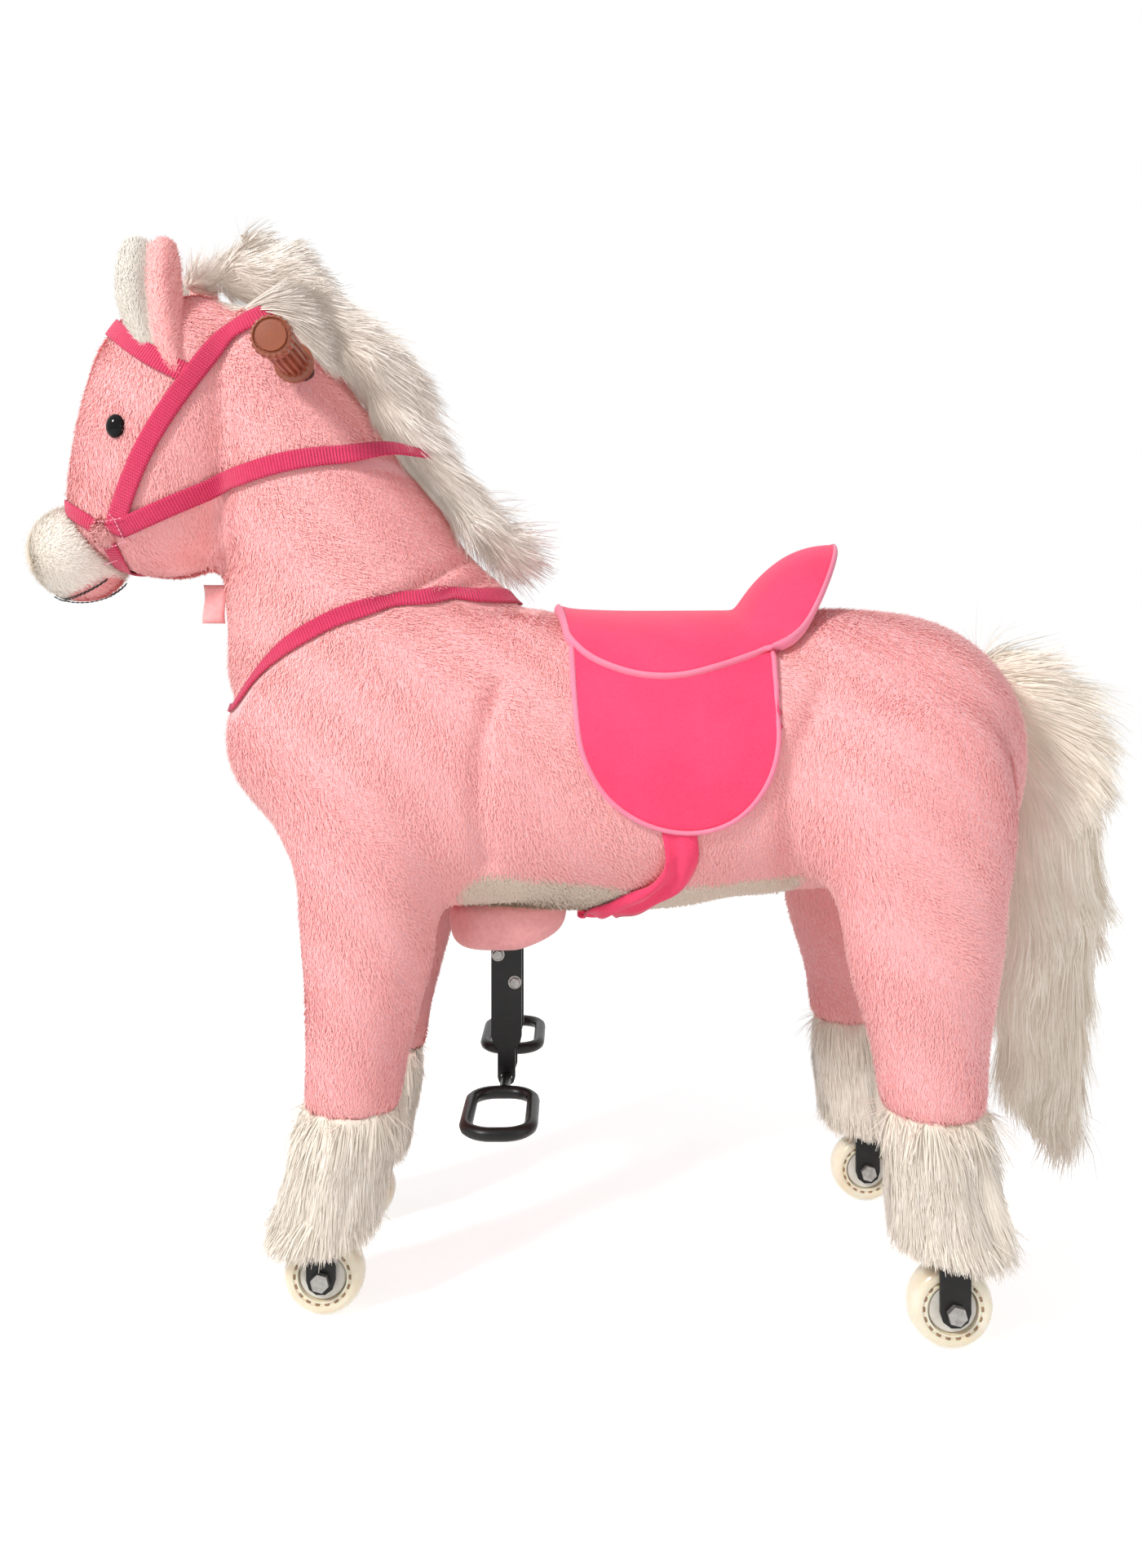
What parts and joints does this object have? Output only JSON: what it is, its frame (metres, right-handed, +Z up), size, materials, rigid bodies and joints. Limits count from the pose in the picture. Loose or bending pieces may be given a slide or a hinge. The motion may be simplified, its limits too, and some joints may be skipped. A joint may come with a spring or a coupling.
{
  "type": "plush ride on animal",
  "caption": "Pink plush pony to ride, with a cream mane and tail, a saddle, castors and a foot lever that swings its legs.",
  "frame": {"origin": "on the floor, under the middle of the box of the whole pony", "axes": "+Z up; the pony faces -X, and its left side is at -Y"},
  "size_m": [0.9361, 0.354, 0.9],
  "materials": {
    "pink_plush": "short soft pile",
    "cream_fur": "long pile",
    "saddle_cloth": "brushed cloth",
    "webbing": "ribbed webbing",
    "pale_cloth": "smooth cloth",
    "black_steel": "semi-gloss paint",
    "zinc": "zinc plated",
    "grip_plastic": "glossy",
    "tyre": "clear soft plastic",
    "hub_plastic": "moulded",
    "eye_gloss": "polished",
    "plywood": "sanded"
  },
  "bodies": {
    "chassis": {"main_frame": "black_steel", "seat_board": "plywood", "trunk_plush": "pink_plush", "saddle_seat": "saddle_cloth", "saddle_skirt": "saddle_cloth", "girth_strap": "saddle_cloth", "chest_strap": "webbing", "lever_sleeve": "pale_cloth", "tail": "cream_fur", "lever_pivot_bolt": "zinc"},
    "head_and_neck": {"steering_stem": "black_steel", "handle_grip_left": "grip_plastic", "handle_grip_right": "grip_plastic", "neck_plush": "pink_plush", "head_plush": "pink_plush", "muzzle": "cream_fur", "eye_left": "eye_gloss", "eye_right": "eye_gloss", "ear_left": "pink_plush", "ear_right": "pink_plush", "mane": "cream_fur", "bridle": "webbing", "reins": "webbing"},
    "front_legs": {"front_leg_shaft": "zinc", "front_leg_tube_left": "black_steel", "front_leg_tube_right": "black_steel", "front_leg_plush_left": "pink_plush", "front_leg_plush_right": "pink_plush", "front_fetlock_left": "cream_fur", "front_fetlock_right": "cream_fur"},
    "rear_legs": {"rear_leg_shaft": "zinc", "rear_leg_tube_left": "black_steel", "rear_leg_tube_right": "black_steel", "rear_leg_plush_left": "pink_plush", "rear_leg_plush_right": "pink_plush", "rear_fetlock_left": "cream_fur", "rear_fetlock_right": "cream_fur", "rear_left_axle_bolt": "zinc", "rear_right_axle_bolt": "zinc"},
    "left_front_fork": {"front_fork_left": "black_steel", "front_left_axle_bolt": "zinc"},
    "right_front_fork": {"front_fork_right": "black_steel", "front_right_axle_bolt": "zinc"},
    "foot_lever": {"pedal_hanger_left": "black_steel", "pedal_hanger_right": "black_steel", "pedal_cross_rod": "black_steel", "foot_loop_left": "black_steel", "foot_loop_right": "black_steel", "front_link_pin": "zinc", "rear_link_pin": "zinc"},
    "front_link_bar": {"front_link": "black_steel"},
    "rear_link_bar": {"rear_link": "black_steel"},
    "front_left_wheel": {"front_left_tyre": "tyre", "front_left_hub": "hub_plastic"},
    "front_right_wheel": {"front_right_tyre": "tyre", "front_right_hub": "hub_plastic"},
    "rear_left_wheel": {"rear_left_tyre": "tyre", "rear_left_hub": "hub_plastic"},
    "rear_right_wheel": {"rear_right_tyre": "tyre", "rear_right_hub": "hub_plastic"}
  },
  "joints": [
    {"name": "leg_swing", "type": "hinge", "parent": "chassis", "child": "front_legs", "pos_m": [-0.155, 0, 0.42], "axis": [0, -1, 0], "range_deg": [0, 12]},
    {"name": "rear_leg_swing", "type": "hinge", "parent": "chassis", "child": "rear_legs", "pos_m": [0.262, 0, 0.42], "axis": [0, -1, 0], "range_deg": [-12, 0]},
    {"name": "lever_swing", "type": "hinge", "parent": "chassis", "child": "foot_lever", "pos_m": [-0.055, 0, 0.36], "axis": [0, -1, 0], "range_deg": [0, 12]},
    {"name": "front_link_turn", "type": "hinge", "parent": "foot_lever", "child": "front_link_bar", "pos_m": [-0.055, 0, 0.32], "axis": [0, -1, 0], "range_deg": [-12, 0]},
    {"name": "rear_link_turn", "type": "hinge", "parent": "foot_lever", "child": "rear_link_bar", "pos_m": [-0.05186, 0, 0.38984], "axis": [0, -1, 0], "range_deg": [-12, 0]},
    {"name": "steering", "type": "hinge", "parent": "chassis", "child": "head_and_neck", "pos_m": [-0.1353, 0, 0.544], "axis": [-0.3746, 0, 0.9272], "range_deg": [-20, 20]},
    {"name": "front_fork_left_swivel", "type": "hinge", "parent": "front_legs", "child": "left_front_fork", "pos_m": [-0.197, -0.078, 0.073], "axis": [0, 0, 1], "range_deg": [-20, 20]},
    {"name": "front_fork_right_swivel", "type": "hinge", "parent": "front_legs", "child": "right_front_fork", "pos_m": [-0.197, 0.078, 0.073], "axis": [0, 0, 1], "range_deg": [-20, 20]},
    {"name": "front_wheel_left_spin", "type": "hinge", "parent": "left_front_fork", "child": "front_left_wheel", "pos_m": [-0.197, -0.078, 0.0325], "axis": [0, 1, 0], "continuous": true},
    {"name": "front_wheel_right_spin", "type": "hinge", "parent": "right_front_fork", "child": "front_right_wheel", "pos_m": [-0.197, 0.078, 0.0325], "axis": [0, 1, 0], "continuous": true},
    {"name": "rear_wheel_left_spin", "type": "hinge", "parent": "rear_legs", "child": "rear_left_wheel", "pos_m": [0.287, -0.125, 0.0325], "axis": [0, 1, 0], "continuous": true},
    {"name": "rear_wheel_right_spin", "type": "hinge", "parent": "rear_legs", "child": "rear_right_wheel", "pos_m": [0.287, 0.125, 0.0325], "axis": [0, 1, 0], "continuous": true}
  ],
  "couplings": [
    {"joint": "rear_leg_swing", "follows": "leg_swing", "ratio": -1},
    {"joint": "lever_swing", "follows": "leg_swing", "ratio": 1},
    {"joint": "front_link_turn", "follows": "leg_swing", "ratio": -1},
    {"joint": "rear_link_turn", "follows": "leg_swing", "ratio": -1},
    {"joint": "front_fork_left_swivel", "follows": "steering", "ratio": 1},
    {"joint": "front_fork_right_swivel", "follows": "steering", "ratio": 1}
  ]
}
